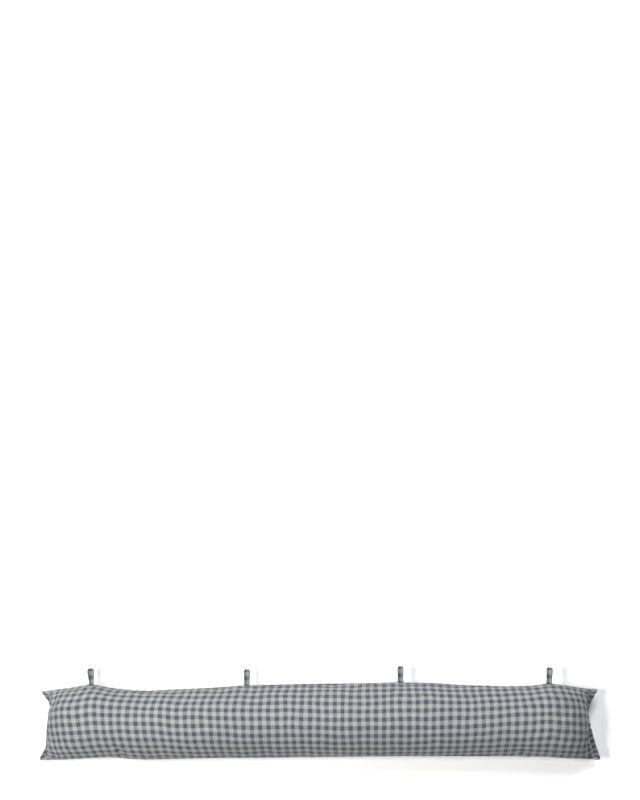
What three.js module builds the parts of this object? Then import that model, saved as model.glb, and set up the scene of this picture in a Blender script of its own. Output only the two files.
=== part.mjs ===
// A draught excluder: a long stuffed cushion of checked cloth that lies at the foot of a door, with four
// cloth loops in one long seam to hang it up by. Millimetres, +Z up. The cushion lies on its back: +X runs
// along it, +Y points to the seam that holds the loops, and the origin is the middle of its underside.

import * as THREE from "three";
import { mergeVertices } from "three/addons/utils/BufferGeometryUtils.js";

// The cut cloth: two panels of one size, sewn together on all four sides.
const CLOTH_LENGTH = 933;
const CLOTH_WIDTH = 176;

// The filled cushion. Its corners stay thin and stand out as ears, and its end seams are drawn in.
const LENGTH = 900;
const SEAM_HEIGHT = 38;
const CROWN_RISE = 55;
const UNDERSIDE_DROP = 44;
const UNDERSIDE_FULLNESS = 2.7;
const END_TAPER = 62;
const END_TAPER_CLOTH = 93;
const EVEN_THREADS_POWER = 3;
const EAR_DROOP = 9;
const SEAM_PULL_IN = 3;

// The end seams, seen from above: how far each is drawn in from the longest reach at places across the
// cloth, from -1 on the plain side to 1 on the side of the loops.
const END_SEAMS = [
  { across: -1, left: 0, right: 0 },
  { across: -0.85, left: 2.2, right: 1.2 },
  { across: -0.66, left: 8.4, right: 5.2 },
  { across: -0.45, left: 9.8, right: 9 },
  { across: -0.03, left: 11.4, right: 15.7 },
  { across: 0.33, left: 13.6, right: 18.8 },
  { across: 0.59, left: 15.2, right: 15 },
  { across: 0.8, left: 9, right: 9.2 },
  { across: 1, left: 1.5, right: 3.6 },
];

// How far the full cushion stays back from its longest reach at each end, and how soon the threads leave
// the straight run of the long seams: a high power keeps that run to the very edge.
const DRAWN_IN = { left: 11, right: 18 };
const STRAIGHT_EDGE_POWER = { left: 5, right: 3.5 };

// The long seams, seen from above: y of the seam with the loops and of the plain seam at stations along X.
const LONG_SEAMS = [
  { x: -450, loops: 47, plain: -63 },
  { x: -428, loops: 50, plain: -62.5 },
  { x: -402, loops: 53.5, plain: -61.5 },
  { x: -368, loops: 58.5, plain: -59.5 },
  { x: -338, loops: 53.5, plain: -58.5 },
  { x: -286, loops: 48.5, plain: -61.5 },
  { x: -241, loops: 50.5, plain: -61 },
  { x: -183, loops: 53, plain: -59.5 },
  { x: -117, loops: 57, plain: -59 },
  { x: -16, loops: 59.5, plain: -58 },
  { x: 80, loops: 61, plain: -57 },
  { x: 129, loops: 62, plain: -56.5 },
  { x: 177, loops: 61, plain: -56.5 },
  { x: 225, loops: 58, plain: -56.5 },
  { x: 289, loops: 56, plain: -56.5 },
  { x: 337, loops: 57, plain: -57 },
  { x: 368, loops: 60, plain: -58 },
  { x: 389, loops: 58, plain: -59.5 },
  { x: 421, loops: 53, plain: -61 },
  { x: 450, loops: 50, plain: -62.5 },
];

// The soft lumps of the filling: their length along X, how high they stand and where the wave starts.
const LUMPS = [
  { wave: 310, height: 1.3, start: 40 },
  { wave: 187, height: 0.9, start: -25 },
];

// The main folds of the upper cloth: where a fold's middle lies, which way it runs in degrees from +X, how
// long and wide it is, and how deep its trough is. A negative depth is a ridge.
const FOLDS = [
  { x: -410, y: 22, runs: -24, long: 62, wide: 11, deep: 4 },
  { x: -412, y: -37, runs: 28, long: 66, wide: 11, deep: 4 },
  { x: -331, y: -41, runs: 62, long: 34, wide: 9, deep: 3 },
  { x: 407, y: 24, runs: 27, long: 62, wide: 11, deep: 4 },
  { x: 413, y: -31, runs: -50, long: 74, wide: 9, deep: 4.5 },
  { x: -368, y: 40, runs: 90, long: 30, wide: 16, deep: -2.5 },
  { x: 368, y: 41, runs: 90, long: 30, wide: 16, deep: -2.5 },
];

// A loop is a flat tape sewn from the same cloth, doubled over, with both ends in the seam.
const TAPE = { width: 10, thickness: 1.9 };
const LOOP = { reach: 26.5, eyeHalfHeight: 4.6, eyeStart: 6, rootHalfHeight: 2, widestAt: 18.5 };
const LOOP_GAP = 0.3;

// Where each loop stands on its seam, how far it leans towards +X, and how far it is twisted on its length.
const LOOPS = [
  { name: "loop_1", x: -367.5, leans: -3, twists: 10 },
  { name: "loop_2", x: -117.5, leans: 0, twists: -4 },
  { name: "loop_3", x: 129.5, leans: 0, twists: 3 },
  { name: "loop_4", x: 368.5, leans: 3, twists: -8 },
];

// The panels' grids: cells in one end taper, in the middle stretch, and across.
const CELLS = { taper: 14, middle: 54, across: 20 };

const cloth = new THREE.MeshStandardMaterial({ color: 0x8f939f, roughness: 0.95, metalness: 0 });
const QUARTER_TURN = Math.PI / 2;

// A smooth curve through one column of a table: a cubic between each two rows, whose slope at a row is the
// slope of the line between the row's neighbours.
function curve(table, placeColumn, column, place) {
  const last = table.length - 1;
  const next = table.findIndex((row) => row[placeColumn] > place);
  if (next === 0) return table[0][column];
  if (next < 0) return table[last][column];
  const from = table[next - 1];
  const to = table[next];
  const slopeAt = (n) => {
    const before = table[Math.max(n - 1, 0)];
    const after = table[Math.min(n + 1, last)];
    return (after[column] - before[column]) / (after[placeColumn] - before[placeColumn]);
  };
  const span = to[placeColumn] - from[placeColumn];
  const s = (place - from[placeColumn]) / span;
  const startSlope = slopeAt(next - 1) * span;
  const endSlope = slopeAt(next) * span;
  return (
    from[column] * (1 + 2 * s) * (1 - s) ** 2 +
    startSlope * s * (1 - s) ** 2 +
    to[column] * s * s * (3 - 2 * s) +
    endSlope * s * s * (s - 1)
  );
}

// How far the cloth has risen, from 0 at an end seam to 1 past the taper: a quarter of an ellipse.
function rise(fromEnd) {
  return Math.sin(Math.min(fromEnd / END_TAPER_CLOTH, 1) * QUARTER_TURN);
}

// Where a point of the cloth lies along X, counted from the nearer end. Over the crown it climbs a quarter
// ellipse and then runs level, on the long seams it is spread evenly, and the end seam's own outline fades
// out over the climb.
function alongCushion(u, across) {
  const end = u < 0 ? "left" : "right";
  const spread = u / CLOTH_LENGTH + 0.5;
  const power = STRAIGHT_EDGE_POWER.left * (1 - spread) + STRAIGHT_EDGE_POWER.right * spread;
  const edge = Math.abs(across) ** power;
  const fromEnd = CLOTH_LENGTH / 2 - Math.abs(u);
  const climbed = Math.min(fromEnd / END_TAPER_CLOTH, 1);
  const level = Math.max(fromEnd - END_TAPER_CLOTH, 0);
  const overCrown = END_TAPER * (1 - Math.cos(climbed * QUARTER_TURN)) + level;
  const onSeam = (fromEnd * LENGTH) / CLOTH_LENGTH;
  const fade = (1 - climbed) ** 2;
  const inset = curve(END_SEAMS, "across", end, across) * fade + DRAWN_IN[end] * (1 - fade) * (1 - edge);
  const reach = LENGTH / 2 - inset - edge * onSeam - (1 - edge) * overCrown;
  return u < 0 ? -reach : reach;
}

// The trough or ridge that the folds make at a point of the upper cloth.
function foldDepth(x, y) {
  return FOLDS.reduce((sum, fold) => {
    const turn = THREE.MathUtils.degToRad(fold.runs);
    const dx = x - fold.x;
    const dy = y - fold.y;
    const lengthwise = (dx * Math.cos(turn) + dy * Math.sin(turn)) / (fold.long / 2);
    const sideways = (dy * Math.cos(turn) - dx * Math.sin(turn)) / fold.wide;
    return sum + fold.deep * Math.exp(-(lengthwise ** 2) - sideways ** 2);
  }, 0);
}

// How high the lumps stand at a place along the cushion.
function lumpHeight(x) {
  return LUMPS.reduce((sum, lump) => {
    return sum + lump.height * Math.sin(((x - lump.start) / lump.wave) * 2 * Math.PI);
  }, 0);
}

// A point of the upper or lower panel. u and v are its place in the cut cloth, from the panel's middle. The
// threads are spread evenly on an end seam itself, and close to it already as on half an ellipse.
function clothPoint(u, v, upper) {
  const across = v / (CLOTH_WIDTH / 2);
  const x = alongCushion(u, across);
  const loopSeam = curve(LONG_SEAMS, "x", "loops", x);
  const plainSeam = curve(LONG_SEAMS, "x", "plain", x);
  const lift = rise(CLOTH_LENGTH / 2 - Math.abs(u));
  const even = (1 - lift) ** EVEN_THREADS_POWER;
  const sideways = (1 - even) * Math.sin(across * QUARTER_TURN) + even * across;
  const y = (loopSeam + plainSeam) / 2 + ((loopSeam - plainSeam) / 2) * sideways;
  const seam = SEAM_HEIGHT - EAR_DROOP * (1 - lift) * across ** 2 - SEAM_PULL_IN * (1 - lift);
  if (!upper) {
    const drop = Math.max(1 - Math.abs(sideways) ** UNDERSIDE_FULLNESS, 0) ** (1 / UNDERSIDE_FULLNESS);
    return new THREE.Vector3(x, y, Math.max(seam - UNDERSIDE_DROP * lift * drop, 0));
  }
  const height = CROWN_RISE + lumpHeight(x) - foldDepth(x, y);
  return new THREE.Vector3(x, y, seam + height * lift * Math.cos(across * QUARTER_TURN));
}

// The places of the grid lines along the cloth: close together in the tapers and wider in the middle.
function gridAlong() {
  const half = CLOTH_LENGTH / 2;
  const taper = Array.from({ length: CELLS.taper }, (_, i) => (i / CELLS.taper) * END_TAPER_CLOTH);
  const middle = Array.from({ length: CELLS.middle + 1 }, (_, i) => {
    return END_TAPER_CLOTH + (i / CELLS.middle) * (CLOTH_LENGTH - 2 * END_TAPER_CLOTH);
  });
  const back = taper.map((d) => CLOTH_LENGTH - d).reverse();
  return [...taper, ...middle, ...back].map((d) => d - half);
}

// The stuffed cushion: the upper and lower panel as two grids that share their edges. Each cell is split
// towards the nearest corner of the cloth, so that the ears keep their thickness.
function cushionGeometry() {
  const us = gridAlong();
  const vs = Array.from({ length: CELLS.across + 1 }, (_, j) => (j / CELLS.across - 0.5) * CLOTH_WIDTH);
  const positions = [];
  const corner = (i, j, upper) => clothPoint(us[i], vs[j], upper);
  const addTriangle = (a, b, c, upper) => {
    const order = upper ? [a, b, c] : [a, c, b];
    order.forEach(([i, j]) => positions.push(...corner(i, j, upper)));
  };
  for (const upper of [true, false]) {
    for (let i = 0; i + 1 < us.length; i += 1) {
      for (let j = 0; j + 1 < vs.length; j += 1) {
        const middleU = us[i] + us[i + 1];
        const middleV = vs[j] + vs[j + 1];
        const [a, b, c, d] = [[i, j], [i + 1, j], [i + 1, j + 1], [i, j + 1]];
        if (middleU * middleV > 0) {
          addTriangle(a, b, c, upper);
          addTriangle(a, c, d, upper);
        } else {
          addTriangle(a, b, d, upper);
          addTriangle(b, c, d, upper);
        }
      }
    }
  }
  const geometry = new THREE.BufferGeometry();
  geometry.setAttribute("position", new THREE.Float32BufferAttribute(positions, 3));
  const welded = mergeVertices(geometry, 1e-3);
  welded.computeVertexNormals();
  return welded;
}

// One side of a teardrop outline, from where it starts to its tip, as half heights over the reach.
function teardropSide(start, startHalf, widest, widestHalf, tip, steps) {
  const points = [];
  for (let i = 0; i < steps; i += 1) {
    const s = i / steps;
    const eased = s * s * (3 - 2 * s);
    const half = startHalf + (widestHalf - startHalf) * eased;
    points.push(new THREE.Vector2(start + (widest - start) * s, half));
  }
  for (let i = 0; i <= steps; i += 1) {
    const angle = (i / steps) * QUARTER_TURN;
    points.push(new THREE.Vector2(widest + (tip - widest) * Math.sin(angle), widestHalf * Math.cos(angle)));
  }
  return points;
}

// Both sides of a teardrop as one closed ring of points, counter-clockwise.
function teardrop(...sizes) {
  const upper = teardropSide(...sizes);
  const offAxis = upper.slice(0, -1).filter((p) => p.y > 0);
  const lower = offAxis.map((p) => new THREE.Vector2(p.x, -p.y));
  return [...lower, ...upper.reverse()];
}

// A doubled tape, seen from its edge: the tape goes out from the seam, round the eye and back.
function loopGeometry() {
  const { reach, eyeHalfHeight, eyeStart, rootHalfHeight, widestAt } = LOOP;
  const sideSteps = 7;
  const outerHalf = eyeHalfHeight + TAPE.thickness;
  const outer = teardrop(0, rootHalfHeight, widestAt, outerHalf, reach, sideSteps);
  const eye = teardrop(eyeStart, 0, widestAt, eyeHalfHeight, reach - TAPE.thickness, sideSteps);
  const shape = new THREE.Shape(outer);
  shape.holes.push(new THREE.Path(eye));
  const geometry = new THREE.ExtrudeGeometry(shape, { depth: TAPE.width, bevelEnabled: false, steps: 1 });
  geometry.translate(0, 0, -TAPE.width / 2);
  return geometry;
}

// A loop on its seam: its reach points along +Y, the width of its tape along X, and its eye opens along X.
function placedLoop({ name, x, leans, twists }) {
  const loop = new THREE.Mesh(loopGeometry(), cloth);
  loop.name = name;
  const outwards = new THREE.Matrix4().makeBasis(
    new THREE.Vector3(0, 1, 0),
    new THREE.Vector3(0, 0, 1),
    new THREE.Vector3(1, 0, 0),
  );
  const twist = new THREE.Matrix4().makeRotationX(THREE.MathUtils.degToRad(twists));
  const lean = new THREE.Matrix4().makeRotationZ(THREE.MathUtils.degToRad(-leans));
  loop.quaternion.setFromRotationMatrix(lean.multiply(outwards).multiply(twist));
  const leanRoom = (TAPE.width / 2) * Math.abs(Math.sin(THREE.MathUtils.degToRad(leans)));
  const seamNearby = [-1, 0, 1].map((n) => curve(LONG_SEAMS, "x", "loops", x + (n * TAPE.width) / 2));
  loop.position.set(x, Math.max(...seamNearby) + LOOP_GAP + leanRoom, SEAM_HEIGHT);
  return loop;
}

const cushion = new THREE.Mesh(cushionGeometry(), cloth);
cushion.name = "cushion";

const draughtExcluder = new THREE.Group();
draughtExcluder.add(cushion, ...LOOPS.map(placedLoop));

export default draughtExcluder;
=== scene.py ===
# %% [markdown]
# # A stuffed draught excluder in checked cotton
# The real object is a long cushion that lies at the foot of a door and keeps the draught out. Two strips of
# small blue-grey gingham are sewn together all round and stuffed firmly, and four loops of tape are caught
# in one of the long seams, so that the cushion can hang on hooks. It lies on its back here, seen from
# straight above.
#
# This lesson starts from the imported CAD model. It gives the hard outline and the sizes, and Blender adds what
# cloth does: folds, puckers along the seams, a woven check that follows the surface, and soft light.

# %% Tools and the CAD frame
import math

import bpy
import numpy as np
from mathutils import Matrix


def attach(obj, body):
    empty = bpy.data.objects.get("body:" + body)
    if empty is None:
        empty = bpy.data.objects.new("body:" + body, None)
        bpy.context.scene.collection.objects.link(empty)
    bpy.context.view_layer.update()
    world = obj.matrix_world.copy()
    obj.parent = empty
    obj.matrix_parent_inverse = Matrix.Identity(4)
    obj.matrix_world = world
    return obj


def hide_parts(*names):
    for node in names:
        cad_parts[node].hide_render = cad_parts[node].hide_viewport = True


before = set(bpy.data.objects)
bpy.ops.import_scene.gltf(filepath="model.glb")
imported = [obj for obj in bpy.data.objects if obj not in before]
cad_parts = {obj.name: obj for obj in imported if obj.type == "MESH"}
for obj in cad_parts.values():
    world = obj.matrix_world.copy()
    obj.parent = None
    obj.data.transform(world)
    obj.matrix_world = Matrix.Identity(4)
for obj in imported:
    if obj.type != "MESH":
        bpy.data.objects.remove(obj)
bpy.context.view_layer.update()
MM = 0.001  # every size below is in millimetres, and becomes metres where a mesh is made

# %% [markdown]
# ## The cushion's form
# A stuffed cushion could be sculpted, or swollen from a box. Each panel is a rectangle with u along it
# and v across it, and one function says where a point (u, v) of the panel lies once the cushion is
# stuffed. The sizes are the CAD model's own, but the crown here fills its shoulders a little more, as
# packed stuffing does.

# %% Sizes of the cut cloth and the stuffed form
CLOTH_LENGTH, CLOTH_WIDTH = 933.0, 176.0
LENGTH = 900.0
SEAM_HEIGHT = 38.0
CROWN_RISE = 55.0
UNDERSIDE_DROP, UNDERSIDE_FULLNESS = 44.0, 2.7
END_TAPER, END_TAPER_CLOTH = 62.0, 93.0
EVEN_THREADS_POWER = 3
CROWN_FULLNESS = 0.8  # 1 is the CAD model's ellipse
EAR_DROOP, SEAM_PULL_IN = 9.0, 3.0
QUARTER_TURN = math.pi / 2

# The outline of the two end seams: the place across the cloth, from -1 on the plain side to 1 on the side of
# the loops, and how far the left and the right seam are drawn in there from the longest reach.
END_TABLE = np.array([
    (-1, 0, 0), (-0.85, 2.2, 1.2), (-0.66, 8.4, 5.2), (-0.45, 9.8, 9), (-0.03, 11.4, 15.7),
    (0.33, 13.6, 18.8), (0.59, 15.2, 15), (0.8, 9, 9.2), (1, 1.5, 3.6),
])
DRAWN_IN = {"left": 11.0, "right": 18.0}
STRAIGHT_EDGE_POWER = {"left": 5.0, "right": 3.5}

# The outline of the two long seams: x, the seam with the loops, and the plain seam.
SEAM_TABLE = np.array([
    (-450, 47, -63), (-428, 50, -62.5), (-402, 53.5, -61.5), (-368, 58.5, -59.5), (-338, 53.5, -58.5),
    (-286, 48.5, -61.5), (-241, 50.5, -61), (-183, 53, -59.5), (-117, 57, -59), (-16, 59.5, -58),
    (80, 61, -57), (129, 62, -56.5), (177, 61, -56.5), (225, 58, -56.5), (289, 56, -56.5),
    (337, 57, -57), (368, 60, -58), (389, 58, -59.5), (421, 53, -61), (450, 50, -62.5),
])

# Long low swells of the stuffing: wavelength, height and where each starts.
LUMPS = [(310, 1.3, 40), (187, 0.9, -25)]

# The main folds: x, y, direction in degrees from +X, length, width, and depth, which is negative for a ridge.
FOLDS = [
    (-410, 22, -24, 62, 11, 4), (-412, -37, 28, 66, 11, 4), (-331, -41, 62, 34, 9, 3),
    (407, 24, 27, 62, 11, 4), (413, -31, -50, 74, 9, 4.5), (-368, 40, 90, 30, 16, -2.5),
    (368, 41, 90, 30, 16, -2.5),
]


# %% The stuffed form as a function of the cut cloth
def curve(table, column, place):
    """A smooth curve through one column of a table: a cubic between each two rows, whose slope at a row is
    the slope of the line between the row's neighbours. The first column is the place."""
    xs, ys = table[:, 0], table[:, column]
    rows = np.arange(len(xs))
    before, after = np.maximum(rows - 1, 0), np.minimum(rows + 1, len(xs) - 1)
    slopes = (ys[after] - ys[before]) / (xs[after] - xs[before])
    place = np.clip(place, xs[0], xs[-1])
    k = np.clip(np.searchsorted(xs, place, side="right") - 1, 0, len(xs) - 2)
    span = xs[k + 1] - xs[k]
    s = (place - xs[k]) / span
    return (
        ys[k] * (1 + 2 * s) * (1 - s) ** 2
        + slopes[k] * span * s * (1 - s) ** 2
        + ys[k + 1] * s * s * (3 - 2 * s)
        + slopes[k + 1] * span * s * s * (s - 1)
    )


def runs(u):
    """How far in from its end a thread at u lies over the crown and on the long seams, and how much of the
    end seam's own outline is left there. Over the crown cloth climbs a quarter ellipse from the end seam
    and then runs level, further in by the amount that the end is drawn in. On the long seams it is spread
    evenly."""
    from_end = CLOTH_LENGTH / 2 - np.abs(u)
    climbed = np.clip(from_end / END_TAPER_CLOTH, 0, 1)
    fade = (1 - climbed) ** 2
    over_crown = END_TAPER * (1 - np.cos(climbed * QUARTER_TURN)) + np.maximum(from_end - END_TAPER_CLOTH, 0)
    drawn_in = np.where(u < 0, DRAWN_IN["left"], DRAWN_IN["right"])
    return over_crown + drawn_in * (1 - fade), from_end * LENGTH / CLOTH_LENGTH, fade


def seam_share(u, across):
    """How much a point follows the long seams and not the crown: |across| to a power, higher at the left
    end."""
    spread = u / CLOTH_LENGTH + 0.5
    power = STRAIGHT_EDGE_POWER["left"] * (1 - spread) + STRAIGHT_EDGE_POWER["right"] * spread
    return np.abs(across) ** power


def along_x(u, across):
    """Where cloth lies along X: the two runs mixed by the seam's share, with the end seam's own outline."""
    over_crown, on_seam, fade = runs(u)
    share = seam_share(u, across)
    outline = np.where(u < 0, curve(END_TABLE, 1, across), curve(END_TABLE, 2, across))
    reach = LENGTH / 2 - outline * fade - share * on_seam - (1 - share) * over_crown
    return np.where(u < 0, -reach, reach)


def dips(first, second, table):
    """The depth of a table of folds at places on a surface, each one a long bell:
    depth * exp(-(lengthwise)^2 - (sideways)^2)."""
    total = np.zeros_like(first)
    for middle_first, middle_second, direction, long, wide, deep in table:
        turn = math.radians(direction)
        dx, dy = first - middle_first, second - middle_second
        lengthwise = (dx * math.cos(turn) + dy * math.sin(turn)) / (long / 2)
        sideways = (dy * math.cos(turn) - dx * math.sin(turn)) / wide
        total += deep * np.exp(-(lengthwise**2) - sideways**2)
    return total


def stuffed(u, v):
    """The upper and lower panel as arrays of points. Across, the upper cloth is half an ellipse on the
    seams and the lower cloth is a fuller, flatter curve. Both sink to the seam over the end tapers. The
    threads are spread evenly on an end seam itself, and close to it already as on half an ellipse."""
    across = v / (CLOTH_WIDTH / 2)
    x = along_x(u, across)
    loop_side, plain_side = curve(SEAM_TABLE, 1, x), curve(SEAM_TABLE, 2, x)
    lift = np.sin(np.clip((CLOTH_LENGTH / 2 - np.abs(u)) / END_TAPER_CLOTH, 0, 1) * QUARTER_TURN)
    even = (1 - lift) ** EVEN_THREADS_POWER
    sideways = (1 - even) * np.sin(across * QUARTER_TURN) + even * across
    y = (loop_side + plain_side) / 2 + (loop_side - plain_side) / 2 * sideways
    seam = SEAM_HEIGHT - EAR_DROOP * (1 - lift) * across**2 - SEAM_PULL_IN * (1 - lift)
    lumps = sum(height * np.sin((x - start) / wave * 2 * np.pi) for wave, height, start in LUMPS)
    crown = (CROWN_RISE + lumps - dips(x, y, FOLDS)) * lift * np.cos(across * QUARTER_TURN) ** CROWN_FULLNESS
    full = np.maximum(1 - np.abs(sideways) ** UNDERSIDE_FULLNESS, 0) ** (1 / UNDERSIDE_FULLNESS)
    upper = np.stack([x, y, seam + crown], -1)
    lower = np.stack([x, y, np.maximum(seam - UNDERSIDE_DROP * lift * full, 0)], -1)
    return upper, lower


# %% [markdown]
# ## Sewing the panels into one mesh
# Both panels are grids of the same cells, and they share the points of their edges, as the seam joins the
# real strips. Every point also keeps its place in the weave as a UV map in metres, so a pattern drawn there
# has its real size. That place is u and v with two corrections. Strips are seldom cut along a thread, so
# the rows of checks wander about one row across the cushion between its ends and its middle. And woven
# cloth gives on the bias, so the columns of checks bow towards their places on the shorter seams well
# before they get there.

# %% How the weave wanders and bows in the cut strip
# u, and how far the rows of checks lie towards the plain seam there.
ROW_DRIFT = np.array([
    (-466, 0), (-420, 0.3), (-380, 1), (-340, -0.5), (-300, -3.3), (-265, -3.5), (-225, 0.5),
    (-170, 3.4), (-105, 6.7), (-25, 8.3), (55, 11.2), (125, 11), (190, 9.4), (257, 5.7),
    (297, 2.8), (336, 1.2), (376, 0.8), (410, -1), (466, 0),
])

# The place across the cloth, and how far a column there has come from its run over the crown towards its
# place on the long seams, at the left and at the right end.
COLUMN_BOW = np.array([
    (-1, 1, 1), (-0.74, 0.96, 0.7), (-0.47, 0.56, 0.37), (-0.33, 0.4, 0.18), (-0.18, 0.25, 0.05),
    (0, 0.1, 0), (0.13, 0.02, 0), (0.27, 0.01, 0.01), (0.41, 0.1, 0.15), (0.56, 0.33, 0.45),
    (0.7, 0.6, 0.73), (0.85, 0.83, 0.88), (1, 1, 1),
])
LEAST_SLOPE = 0.6


def woven_place(u, v):
    """The place in the weave of a point of the cut cloth. A column slides outwards by the difference
    between its own bow and the form's, times the distance between both runs, over the slope of the crown
    there."""
    across = v / (CLOTH_WIDTH / 2)
    spread = u / CLOTH_LENGTH + 0.5
    over_crown, on_seam, _ = runs(u)
    climbed = np.clip((CLOTH_LENGTH / 2 - np.abs(u)) / END_TAPER_CLOTH, 0, 1)
    slope = END_TAPER / END_TAPER_CLOTH * QUARTER_TURN * np.sin(climbed * QUARTER_TURN)
    slope = np.clip(slope, LEAST_SLOPE, 1)
    bow = curve(COLUMN_BOW, 1, across) * (1 - spread) + curve(COLUMN_BOW, 2, across) * spread
    slide = (bow - seam_share(u, across)) * (on_seam - over_crown) / slope
    return u + np.where(u < 0, -slide, slide), v + curve(ROW_DRIFT, 1, u)


# %% Two grids that share their edges
def sewn_indices(rows, columns):
    """Point numbers of both panels. The upper panel's come first, and the lower panel reuses them on its
    edge."""
    upper = np.arange(rows * columns).reshape(rows, columns)
    lower = upper.copy()
    inside = np.zeros((rows, columns), bool)
    inside[1:-1, 1:-1] = True
    lower[inside] = rows * columns + np.arange(inside.sum())
    return upper, lower, inside


def quads(index):
    """The four corners of each cell of a grid, counter-clockwise seen from its front."""
    return np.stack([index[:-1, :-1], index[1:, :-1], index[1:, 1:], index[:-1, 1:]], -1).reshape(-1, 4)


def new_object(name, points, faces, uv=None):
    """A smooth-shaded mesh object from millimetre points, its faces, and a UV in metres for each face
    corner."""
    mesh = bpy.data.meshes.new(name)
    mesh.from_pydata((points * MM).tolist(), [], faces if isinstance(faces, list) else faces.tolist())
    if uv is not None:
        layer = mesh.uv_layers.new(name="cloth_metres")
        layer.data.foreach_set("uv", (np.asarray(uv) * MM).astype(np.float32).ravel())
    mesh.polygons.foreach_set("use_smooth", np.ones(len(mesh.polygons), bool))
    mesh.update()
    made = bpy.data.objects.new(name, mesh)
    bpy.context.scene.collection.objects.link(made)
    return made


def cover_mesh(name, u, v, upper, lower, wobble=0):
    """The sewn cover as one closed mesh. The lower panel's cells are turned over, so that they face out.
    wobble is added to each point's place in the weave."""
    top, bottom, inside = sewn_indices(len(u), len(v))
    points = np.concatenate([upper.reshape(-1, 3), lower[inside]])
    faces = np.concatenate([quads(top), quads(bottom)[:, ::-1]])
    woven = (np.stack(woven_place(*np.meshgrid(u, v, indexing="ij")), -1) + wobble).reshape(-1, 2)
    corner_uv = np.concatenate([woven[quads(top)], woven[quads(top)[:, ::-1]]])
    return new_object(name, points, faces, corner_uv)


# %% [markdown]
# ## Letting the cloth find its own folds
# The smooth form has no slack, but real panels do: the seam of a stuffed tube is shorter than the cloth
# beside it, and the end seams more so, and that is what puckers. So Blender's Cloth runs on the sewn mesh
# with air pressure for the stuffing. Its shrink setting, given below zero by a vertex group, lets the cloth
# grow a little near the seams, and that slack buckles into folds. Along the seam with the loops and its
# opposite the slack comes and goes, because hands feed cloth unevenly into a machine. The seams are held
# loosely in their places.

# %% The simulation's settings
SIM_CELLS = (204, 40)
SIM_FRAMES = 20
PRESSURE = 2.0
MOST_GROWTH = 0.3
LONG_SEAM_GROWTH, LONG_SEAM_REACH = 0.03, 16.0
END_SEAM_GROWTH = {"left": 0.06, "right": 0.09}
END_SEAM_REACH = 24.0
GATHER_PASSES = 6
SEAM_HOLD = 0.85
MOST_MOVE = 7.0
SEED = 11
rng = np.random.default_rng(SEED)


def soft_noise(shape, passes):
    """Random heights on a grid, averaged with their neighbours a few times and scaled to a spread of one."""
    heights = rng.standard_normal(shape)
    for _ in range(passes):
        heights = sum(np.roll(heights, step, axis) for step in (1, -1) for axis in (0, 1)) / 5 + heights / 5
    return heights / heights.std()


def weight_group(target, name, weights):
    """A vertex group from an array of weights, rounded to steps so that each step is added in one call."""
    group = target.vertex_groups.new(name=name)
    steps = np.round(weights, 3)
    for step in np.unique(steps):
        group.add(np.nonzero(steps == step)[0].tolist(), float(step), "REPLACE")
    return group.name


# %% Running the simulation
def calmed(panel):
    """A panel without waves of two cells, which are the grid's and not the cloth's. Along each side in
    turn, a point becomes 10 parts of itself, 4 of each neighbour, and -1 of each next neighbour, of 16 in
    all."""
    for axis in (0, 1):
        line = np.moveaxis(panel.copy(), axis, 0)
        line[2:-2] = (10 * line[2:-2] + 4 * (line[1:-3] + line[3:-1]) - line[:-4] - line[4:]) / 16
        panel = np.moveaxis(line, 0, axis)
    return panel


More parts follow.
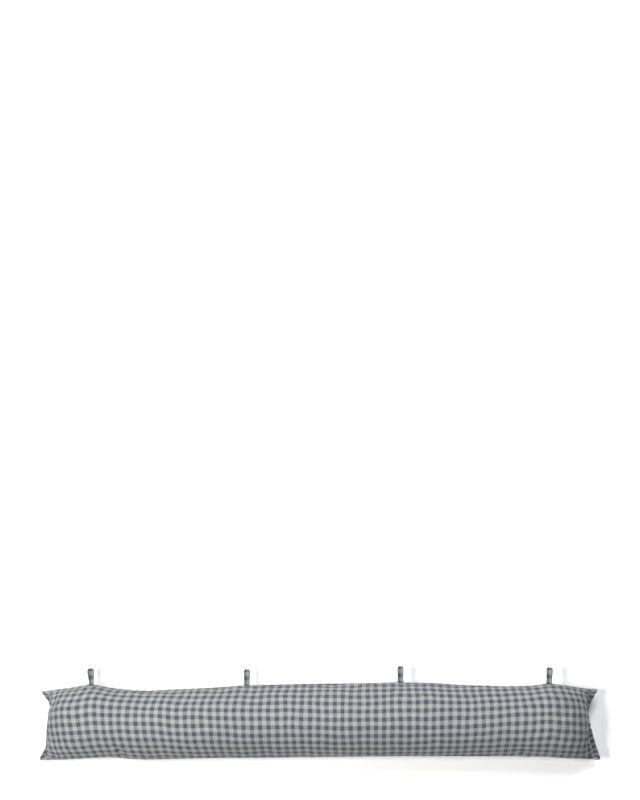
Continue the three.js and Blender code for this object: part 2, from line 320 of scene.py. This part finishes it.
def simulated(u, v, upper, lower):
    """The panels after Cloth has run on them. No point moves further than MOST_MOVE."""
    top, bottom, inside = sewn_indices(len(u), len(v))
    cover = cover_mesh("simulated_cover", u, v, upper, lower)
    grid_u, grid_v = np.meshgrid(u, v, indexing="ij")
    all_u = np.concatenate([grid_u.ravel(), grid_u[inside]])
    all_v = np.concatenate([grid_v.ravel(), grid_v[inside]])
    from_end, from_side = CLOTH_LENGTH / 2 - np.abs(all_u), CLOTH_WIDTH / 2 - np.abs(all_v)
    at_end = np.where(all_u < 0, END_SEAM_GROWTH["left"], END_SEAM_GROWTH["right"])
    gathers = np.clip(1 + soft_noise(grid_u.shape, GATHER_PASSES)[:, :1] * np.ones_like(grid_u), 0, 2)
    gathers = np.concatenate([gathers.ravel(), gathers[inside]])
    growth = LONG_SEAM_GROWTH * gathers * np.exp(-((from_side / LONG_SEAM_REACH) ** 2))
    growth += at_end * np.exp(-((from_end / END_SEAM_REACH) ** 2))
    on_seam = np.minimum(from_end, from_side) < 1e-6

    cloth = cover.modifiers.new("cloth", "CLOTH")
    settings = cloth.settings
    settings.quality = 5
    settings.mass = 0.00003
    settings.tension_stiffness = settings.compression_stiffness = 40
    settings.shear_stiffness = 5
    settings.bending_stiffness = 0.005
    settings.tension_damping = settings.compression_damping = settings.shear_damping = 1
    settings.bending_damping = 0.05
    settings.use_pressure = True
    settings.uniform_pressure_force = PRESSURE
    settings.effector_weights.gravity = 0
    settings.shrink_max, settings.shrink_min = 0, -MOST_GROWTH
    settings.vertex_group_shrink = weight_group(cover, "tight", 1 - growth / MOST_GROWTH)
    settings.vertex_group_mass = weight_group(cover, "held", SEAM_HOLD * on_seam)
    settings.pin_stiffness = 1
    cloth.collision_settings.use_collision = False
    cloth.collision_settings.use_self_collision = False
    cloth.point_cache.frame_start, cloth.point_cache.frame_end = 1, SIM_FRAMES
    for number in range(1, SIM_FRAMES + 1):
        bpy.context.scene.frame_set(number)

    moved = cover.evaluated_get(bpy.context.evaluated_depsgraph_get()).data
    points = np.empty(len(moved.vertices) * 3)
    moved.vertices.foreach_get("co", points)
    points = points.reshape(-1, 3) / MM
    bpy.context.scene.frame_set(1)
    bpy.data.objects.remove(cover)
    start = np.concatenate([upper.reshape(-1, 3), lower[inside]])
    step = points - start
    length = np.linalg.norm(step, axis=1, keepdims=True)
    points = start + step * np.minimum(1, MOST_MOVE / np.maximum(length, 1e-9))
    capped = (length > MOST_MOVE).mean()
    print(f"cloth moved {length.mean():.1f} mm on average, and {capped:.1%} of it was capped")
    return calmed(points[top]), calmed(points[bottom])


sim_u = np.linspace(-CLOTH_LENGTH / 2, CLOTH_LENGTH / 2, SIM_CELLS[0] + 1)
sim_v = np.linspace(-CLOTH_WIDTH / 2, CLOTH_WIDTH / 2, SIM_CELLS[1] + 1)
upper, lower = stuffed(*np.meshgrid(sim_u, sim_v, indexing="ij"))
START_UNEVENNESS = 0.3
inner = np.zeros(upper.shape[:2])
inner[1:-1, 1:-1] = START_UNEVENNESS
for panel in (upper, lower):
    panel[..., 2] = np.maximum(panel[..., 2] + soft_noise(inner.shape, 2) * inner, 0)
upper, lower = simulated(sim_u, sim_v, upper, lower)
print("form:", np.round(np.ptp(upper.reshape(-1, 3), axis=0), 1), "mm")

# %% [markdown]
# ## A finer cover with a sewn edge
# The simulated grid is coarse, which keeps it quick. A cubic curve through its points along each grid line
# gives a finer grid of the same surface, with rows close together at the edge. There the two panels are
# drawn into a thin lip with a small valley beside it, as the seam allowance pulls a sewn edge into a line
# that stands proud. A handful of creases, too sharp for the simulation's grid, are pressed in where a packed
# cushion of this kind has been bent and handled: beside the end seams and near its corners.

# %% A finer grid through the same points
FINE_CELL = 2.4
SEAM_ROWS = np.array([0, 0.5, 1.0, 1.5, 2.1, 2.8, 3.6, 4.6, 5.8])


def fine_places(total):
    """Places along one side of the cut cloth: the seam's rows at each end, and even cells between them."""
    half = total / 2
    cells = round((total - 2 * SEAM_ROWS[-1]) / FINE_CELL)
    middle = np.linspace(-half + SEAM_ROWS[-1], half - SEAM_ROWS[-1], cells + 1)
    return np.concatenate([-half + SEAM_ROWS[:-1], middle, (half - SEAM_ROWS[:-1])[::-1]])


def resampler(old, new):
    """A matrix that reads a Catmull-Rom curve through values at evenly spaced places old, at the places
    new."""
    steps = (new - old[0]) / (old[1] - old[0])
    k = np.clip(np.floor(steps).astype(int), 0, len(old) - 2)
    t = steps - k
    weights = [
        (-(t**3) + 2 * t * t - t) / 2, (3 * t**3 - 5 * t * t + 2) / 2,
        (-3 * t**3 + 4 * t * t + t) / 2, (t**3 - t * t) / 2,
    ]
    matrix = np.zeros((len(new), len(old)))
    for offset, weight in zip((-1, 0, 1, 2), weights):
        np.add.at(matrix, (np.arange(len(new)), np.clip(k + offset, 0, len(old) - 1)), weight)
    return matrix


fine_u, fine_v = fine_places(CLOTH_LENGTH), fine_places(CLOTH_WIDTH)
read_u, read_v = resampler(sim_u, fine_u), resampler(sim_v, fine_v)
upper, lower = (np.einsum("ai,ijk,bj->abk", read_u, panel, read_v) for panel in (upper, lower))


# %% The lip of the seam and the small creases beside it
# The distance from the seam, how far the cloth lies outwards of the smooth form there on an end seam and on a
# long seam, and the share that is left of the distance between both panels.
LIP = np.array([
    (0, 0.6, 0.1, 1), (0.5, 0.5, 0.1, 0.9), (1, 0.1, 0, 0.55), (1.5, -0.4, -0.3, 0.35),
    (2.1, -1.1, -0.8, 0.25), (2.8, -2, -1.4, 0.25), (3.6, -3, -1.9, 0.4), (4.6, -3.2, -1.9, 0.6),
    (5.8, -2.9, -1.5, 0.78), (8, -2.1, -0.8, 0.92), (12, -1.1, -0.3, 1), (18, 0, 0, 1),
])
TIP_SIZE, TIP_CUT, TIP_SWELL = 10.0, 1.3, 0.8
PLAIN_LIP_DROOP, DROOP_REACH = 2.2, 3.0
LIP_UNEVENNESS, SLOW_PASSES = 0.4, 40
THREAD_WOBBLE = 0.5  # how far threads stray, because hand-cut cotton never lies quite square

# Creases in the cut cloth beside the seams: u, v, direction in degrees from the length, length, width and
# depth.
CREASES = [
    (-319, -53, -60, 40, 4.5, 4), (446, -34, -86, 90, 5, 3.5), (448, 32, 82, 50, 4, 2),
    (-447, -20, 86, 70, 4.5, 2), (-436, 40, 68, 44, 4, 2.5), (-222, -79, 2, 84, 4, 3),
    (330, -66, 38, 34, 4, 2.5), (60, -80, -1, 120, 4, 2),
]


def creased(panel, grid_u, grid_v):
    """The upper panel, sunk along its own normal by the depth of the creases. Its edge stays."""
    normal = np.cross(np.gradient(panel, fine_u, axis=0), np.gradient(panel, fine_v, axis=1))
    normal /= np.linalg.norm(normal, axis=-1, keepdims=True)
    sunk = panel - normal * dips(grid_u, grid_v, CREASES)[..., None]
    panel = panel.copy()
    panel[1:-1, 1:-1] = sunk[1:-1, 1:-1]
    return panel


def with_lip(upper, lower, grid_u, grid_v):
    """Both panels with the seam's lip. The middle surface between them moves out or in by the table, and
    their half distance is scaled by it. The lip is wider and narrower by turns. Each of the four tips is
    cut back, and swells beside the cut, which makes it blunt. On the plain side the lip droops a little."""
    from_end, from_side = CLOTH_LENGTH / 2 - np.abs(grid_u), CLOTH_WIDTH / 2 - np.abs(grid_v)
    from_seam = np.minimum(from_end, from_side)
    end_share = (from_side + 1) / (from_end + from_side + 2)
    out = np.stack([np.sign(grid_u) * end_share, np.sign(grid_v) * (1 - end_share), 0 * grid_u], -1)
    out /= np.linalg.norm(out, axis=-1, keepdims=True)
    middle, half = (upper + lower) / 2, (upper - lower) / 2
    tip = np.clip(1 - from_end / TIP_SIZE, 0, 1) * np.clip(1 - from_side / TIP_SIZE, 0, 1)
    on_end, on_side, thickness = (np.interp(from_seam, LIP[:, 0], LIP[:, column]) for column in (1, 2, 3))
    uneven = np.clip(1 + LIP_UNEVENNESS * soft_noise(grid_u.shape, SLOW_PASSES), 0, 2)
    shift = on_end * end_share + on_side * (1 - end_share) * uneven
    shift += TIP_SWELL * 4 * tip * (1 - tip) - TIP_CUT * tip**2
    middle = middle + out * shift[..., None]
    droops = PLAIN_LIP_DROOP * (grid_v < 0) * (1 - end_share)
    middle[..., 2] -= droops * np.exp(-((from_seam / DROOP_REACH) ** 2))
    half = half * thickness[..., None]
    return middle + half, middle - half


fine_grid = np.meshgrid(fine_u, fine_v, indexing="ij")
upper, lower = with_lip(creased(upper, *fine_grid), lower, *fine_grid)
lower[..., 2] = np.maximum(lower[..., 2], 0)
wobble = THREAD_WOBBLE * np.stack([soft_noise(fine_grid[0].shape, SLOW_PASSES) for _ in range(2)], -1)
cushion = cover_mesh("cushion_cover", fine_u, fine_v, upper, lower, wobble)
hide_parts("cushion")
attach(cushion, "root")
print("cushion:", len(cushion.data.polygons), "faces,", [round(d, 3) for d in cushion.dimensions], "m")

# %% [markdown]
# ## The four hanging loops
# Each loop is a tape of the same cloth, folded flat, bent double and caught in the seam by both ends. It is
# a profile carried along a path: the path is a teardrop seen from the tape's edge, and the profile is a
# rectangle with round edges. A loop turns on its length the further it is from the seam, which makes each
# one differ.

# %% Sizes and places of the loops
TAPE_THICKNESS = 1.9
LOOP_REACH, LOOP_WIDEST, LOOP_HALF_HEIGHT = 26.5, 18.5, 6.5
ROOT_DEPTH, ROOT_HALF_HEIGHT = 5.0, 1.1
PATH_STEPS, PROFILE_STEPS = 72, 28

# Name, x, width of the tape, lean towards +X in degrees, turn on its length in degrees at the tip, and the
# share by which the seam gathers the tape at its root.
LOOPS = [
    ("loop_1", -367.5, 10.2, -3, 16, 0.2), ("loop_2", -117.5, 10.0, 0, -6, 0.08),
    ("loop_3", 129.5, 10.0, 0, 5, 0.04), ("loop_4", 368.5, 10.0, 2, -10, 0.06),
]
EDGE_CURL = 0.94  # the share of the tape's width that is seen, because its edges curl a little
TIP_NARROWING, TIP_START = 0.3, 20.0


def loop_path(steps):
    """The tape's middle line as reach and height: an eased widening from the seam, a half ellipse round the
    tip, and the same back, with the steps spread evenly along it."""
    half = LOOP_HALF_HEIGHT - TAPE_THICKNESS / 2
    s = np.linspace(0, 1, 60)
    side_reach = -ROOT_DEPTH + (LOOP_WIDEST + ROOT_DEPTH) * s
    side_height = ROOT_HALF_HEIGHT + (half - ROOT_HALF_HEIGHT) * s * s * (3 - 2 * s)
    turn = np.linspace(0, QUARTER_TURN, 40)[1:]
    tip_reach = LOOP_WIDEST + (LOOP_REACH - TAPE_THICKNESS / 2 - LOOP_WIDEST) * np.sin(turn)
    reach = np.concatenate([side_reach, tip_reach])
    height = np.concatenate([side_height, half * np.cos(turn)])
    line = np.stack([np.concatenate([reach, reach[-2::-1]]), np.concatenate([-height, height[-2::-1]])], -1)
    run = np.concatenate([[0], np.cumsum(np.linalg.norm(np.diff(line, axis=0), axis=1))])
    even = np.linspace(0, run[-1], steps)
    return np.stack([np.interp(even, run, line[:, n]) for n in (0, 1)], -1), even


def rounded_profile(width, steps):
    """A closed superellipse of power four: a flat strip of tape with rounded edges."""
    turn = np.arange(steps) / steps * 2 * np.pi
    squared = [np.sign(f(turn)) * np.abs(f(turn)) ** 0.5 for f in (np.cos, np.sin)]
    return width / 2 * squared[0], TAPE_THICKNESS / 2 * squared[1]


# %% Making the loops
CHECK_REPEAT = 13.31


def loop_mesh(name, x, width, leans, turns, gathered):
    """Carries the tape's profile along the path, narrows it at the seam and round the bend, turns it on its
    length in step with its reach, leans it, and sets it on the seam. The cut ends are closed, and each face
    keeps its place on the tape as its UV."""
    path, run = loop_path(PATH_STEPS)
    tangent = np.gradient(path, axis=0)
    tangent /= np.linalg.norm(tangent, axis=1, keepdims=True)
    normal = np.stack([-tangent[:, 1], tangent[:, 0]], -1)
    across, thick = rounded_profile(width, PROFILE_STEPS)
    reach = path[:, None, 0] + normal[:, None, 0] * thick
    height = path[:, None, 1] + normal[:, None, 1] * thick
    bent = np.clip((reach - TIP_START) / (LOOP_REACH - TIP_START), 0, 1)
    at_root = np.clip(1 - reach / LOOP_WIDEST, 0, 1)
    sideways = across * EDGE_CURL * (1 - TIP_NARROWING * bent**3) * (1 - gathered * at_root)
    turn = np.radians(turns) * np.clip(reach / LOOP_REACH, 0, 1)
    turned_x = sideways * np.cos(turn) + height * np.sin(turn)
    turned_z = height * np.cos(turn) - sideways * np.sin(turn)
    lean = math.radians(leans)
    points = np.stack([
        x + turned_x * math.cos(lean) + reach * math.sin(lean),
        curve(SEAM_TABLE, 1, np.array([x])) + reach * math.cos(lean) - turned_x * math.sin(lean),
        SEAM_HEIGHT + turned_z,
    ], -1).reshape(-1, 3)
    ring = np.arange(PATH_STEPS * PROFILE_STEPS).reshape(PATH_STEPS, PROFILE_STEPS)
    closed = np.concatenate([ring, ring[:, :1]], axis=1)
    faces = quads(closed)[:, ::-1]
    shift = CHECK_REPEAT / 4
    strip = np.concatenate([across, across[:1]]) + shift
    on_tape = np.stack(np.meshgrid(run - run[-1] / 2 - shift, strip, indexing="ij"), -1).reshape(-1, 2)
    numbers = np.arange(PATH_STEPS * (PROFILE_STEPS + 1)).reshape(PATH_STEPS, -1)
    uv = on_tape[quads(numbers)[:, ::-1]].reshape(-1, 2)
    caps = [ring[0].tolist(), ring[-1, ::-1].tolist()]
    cap_uv = np.tile(on_tape[:1], (2 * PROFILE_STEPS, 1))
    return new_object(name, points, faces.tolist() + caps, np.concatenate([uv, cap_uv])), run[-1]


loops = []
for name, x, width, leans, turns, gathered in LOOPS:
    tape, length = loop_mesh(name + "_tape", x, width, leans, turns, gathered)
    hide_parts(name)
    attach(tape, "root")
    loops.append(tape)
reaches = [round(tape.dimensions.y / MM, 1) for tape in loops]
print("loops:", reaches, "mm of reach, tape", round(length, 1), "mm long")

# %% [markdown]
# ## The cloth itself
# The cover is a plain-woven cotton gingham, dyed in the yarn. Bands of dark and of pale threads run both
# ways. Dark crosses dark, pale crosses pale, and where they cross each other the eye sees a half tone. The
# material weaves it the same way: it works out the dark and pale bands for each direction, then shows one
# thread or the other as they pass over and under. An image of cloth would be quicker, but it would blur
# close up.

# %% Colours and small helpers for nodes
CHECK_PITCH = CHECK_REPEAT * MM
THREADS_PER_REPEAT = 24  # the real cloth has about half as many again, which would only shimmer at this size
DARK_YARN, PALE_YARN = "#464B57", "#989897"
BAND_EDGE = (0.235, 0.265)  # where a dark band ends, as a share of the repeat from the band's middle
THREAD_CONTRAST = 0.22  # how far each crossing leans to the thread that lies on top
SLUB_SHADES = (0.86, 1.12)
ALONG_A_SLUB, ACROSS_A_SLUB = 9, 900  # slubs are thick places in a yarn, in waves a metre
CRUMPLE_SCALE = 45.0  # about 45 waves a metre
WEAVE_STRENGTH, WEAVE_DEPTH = 0.35, 0.25 * MM


def linear(hex_colour):
    """An sRGB hex colour as linear RGBA: each channel is (c + 0.055) / 1.055 to the power 2.4, or c /
    12.92."""
    channels = [int(hex_colour[i : i + 2], 16) / 255 for i in (1, 3, 5)]
    return [c / 12.92 if c <= 0.04045 else ((c + 0.055) / 1.055) ** 2.4 for c in channels] + [1.0]


def add(tree, kind, *inputs, out=0, **fields):
    """Adds a shader node, sets its fields, and links or fills its inputs in order. Gives back one output."""
    made = tree.nodes.new("ShaderNode" + kind)
    for field, value in fields.items():
        setattr(made, field, value)
    for socket, value in zip(made.inputs, inputs):
        if isinstance(value, bpy.types.NodeSocket):
            tree.links.new(value, socket)
        elif value is not None:
            socket.default_value = value
    return made.outputs[out]


def calc(tree, operation, *values):
    return add(tree, "Math", *values, operation=operation)


def blended(tree, factor, first, second, blend_type="MIX"):
    """A colour mix. Its colour inputs are the seventh and eighth sockets and its colour output is the
    third."""
    inputs = (factor, None, None, None, None, None, first, second)
    return add(tree, "Mix", *inputs, out=2, data_type="RGBA", blend_type=blend_type)


# %% The gingham
def pale_share(tree, place):
    """0 in a dark band and 1 in a pale one: the distance to the nearest band's middle, through a soft
    step."""
    distance = calc(tree, "PINGPONG", calc(tree, "DIVIDE", place, CHECK_PITCH), 0.5)
    return add(tree, "MapRange", distance, *BAND_EDGE, 0.0, 1.0, interpolation_type="SMOOTHSTEP")


def gingham(name, relief, painted_shade_factor):
    """Plain-woven cotton gingham. relief is the depth in metres of the soft crumples in the cloth, and the last
    argument is a share of the yarns' own colour: below 1 it paints shade into the cloth, which makes the folded
    tape a darker copy of the same gingham."""
    material = bpy.data.materials.new(name)
    material.use_nodes = True
    tree = material.node_tree
    shader = tree.nodes["Principled BSDF"]
    shader.inputs["Roughness"].default_value = 0.9
    shader.inputs["Specular IOR Level"].default_value = 0.25
    shader.inputs["Sheen Weight"].default_value = 0.12
    shader.inputs["Sheen Roughness"].default_value = 0.5

    place = add(tree, "UVMap", uv_map="cloth_metres")
    separate = tree.nodes.new("ShaderNodeSeparateXYZ")
    tree.links.new(place, separate.inputs[0])
    u, v = separate.outputs[0], separate.outputs[1]
    thread = CHECK_PITCH / THREADS_PER_REPEAT
    waves = [calc(tree, "SINE", calc(tree, "MULTIPLY", side, math.pi / thread)) for side in (u, v)]
    over = calc(tree, "MULTIPLY", *waves)

    lengthwise_on_top = calc(tree, "MULTIPLY_ADD", over, THREAD_CONTRAST, 0.5)
    shares = (pale_share(tree, u), pale_share(tree, v))
    pale = add(tree, "Mix", lengthwise_on_top, None, *shares, data_type="FLOAT")
    cloth = blended(tree, pale, linear(DARK_YARN), linear(PALE_YARN))

    streaks = []
    for scale in ((ALONG_A_SLUB, ACROSS_A_SLUB, 1), (ACROSS_A_SLUB, ALONG_A_SLUB, 1)):
        stretched = add(tree, "Mapping", place, None, None, scale)
        streaks.append(add(tree, "TexNoise", stretched, None, 1.0, 2.0, noise_dimensions="2D"))
    slub = calc(tree, "MULTIPLY", calc(tree, "ADD", *streaks), 0.5)
    # Random slub tone, scaled down by the last argument for the tape as painted shade.
    shade = add(tree, "MapRange", slub, 0.3, 0.7, *(share * painted_shade_factor for share in SLUB_SHADES))
    cloth = blended(tree, 1.0, cloth, shade, "MULTIPLY")
    tree.links.new(cloth, shader.inputs["Base Color"])

    crumple = add(tree, "TexNoise", add(tree, "TexCoord", out=3), None, CRUMPLE_SCALE, 3.0, 0.5)
    uneven = add(tree, "Bump", 1.0, relief, None, crumple)
    woven = add(tree, "Bump", WEAVE_STRENGTH, WEAVE_DEPTH, None, over, uneven)
    tree.links.new(woven, shader.inputs["Normal"])
    return material


cushion.data.materials.append(gingham("plain-woven cotton gingham", 2.0 * MM, 1.0))
# The tape is the same cloth at three quarters of its colour: painted shade.
tape_cloth = gingham("gingham folded into flat tape", 0.6 * MM, 0.75)
for tape in loops:
    tape.data.materials.append(tape_cloth)
print("materials:", [m.name for m in bpy.data.materials if m.users])

# %% [markdown]
# ## Floor, light and camera
# The photograph is a flat lay on white. A softbox stands near and high on the left, so that the loops' soft
# shadows fall to the right and the light fades towards the right end. A larger, slightly cooler one lights
# the cushion from the side of its loops, which leaves the plain side in shade. The floor is white acrylic
# with a faint light below it, as on a product table, which keeps the shadows pale. The camera hangs
# straight above with a long lens, as far off as a picture without perspective needs.

# %% Floor and lights
CAMERA_HEIGHT = 16.0
FLOOR_SIZE = 12.0
bpy.ops.mesh.primitive_plane_add(size=FLOOR_SIZE)
floor = bpy.context.object
floor.name = "floor"
paint = bpy.data.materials.new("matt white acrylic on a light table")
paint.use_nodes = True
paint.node_tree.nodes["Principled BSDF"].inputs["Base Color"].default_value = linear("#F4F4F4")
paint.node_tree.nodes["Principled BSDF"].inputs["Roughness"].default_value = 0.9
paint.node_tree.nodes["Principled BSDF"].inputs["Emission Color"].default_value = linear("#FFFFFF")
paint.node_tree.nodes["Principled BSDF"].inputs["Emission Strength"].default_value = 0.1
floor.data.materials.append(paint)


def area_light(name, place, size, watts, colour):
    """A square soft light that points at the cushion's middle and doesn't show in the picture itself."""
    lamp = bpy.data.lights.new(name, "AREA")
    lamp.size, lamp.energy, lamp.color = size, watts, linear(colour)[:3]
    made = bpy.data.objects.new(name, lamp)
    bpy.context.scene.collection.objects.link(made)
    made.location = place
    made.rotation_euler = (-made.location).to_track_quat("-Z", "Y").to_euler()
    made.visible_camera = False
    return made


area_light("light_left", (-1.0, -0.05, 2.0), 0.7, 54, "#FFFEFC")
area_light("light_loop_side", (0.6, 1.8, 2.6), 1.4, 86, "#F9FBFF")
world = bpy.data.worlds.new("studio")
world.use_nodes = True
world.node_tree.nodes["Background"].inputs["Color"].default_value = linear("#FFFFFF")
world.node_tree.nodes["Background"].inputs["Strength"].default_value = 0.05
bpy.context.scene.world = world
bpy.context.scene.view_settings.view_transform = "Standard"

# %% Camera
FRAME_HEIGHT = 1286.4 * MM  # what the picture's 800 pixels span at the height of the seams
FRAME_MIDDLE_Y = 516.2 * MM
lens = bpy.data.cameras.new("camera")
lens.sensor_width = 36
lens.lens = 36 * (CAMERA_HEIGHT - SEAM_HEIGHT * MM) / FRAME_HEIGHT
lens.clip_end = 100
camera = bpy.data.objects.new("camera", lens)
camera.location = (0, FRAME_MIDDLE_Y, CAMERA_HEIGHT)
bpy.context.scene.collection.objects.link(camera)
bpy.context.scene.camera = camera
print("lens:", round(lens.lens), "mm at", CAMERA_HEIGHT, "m")
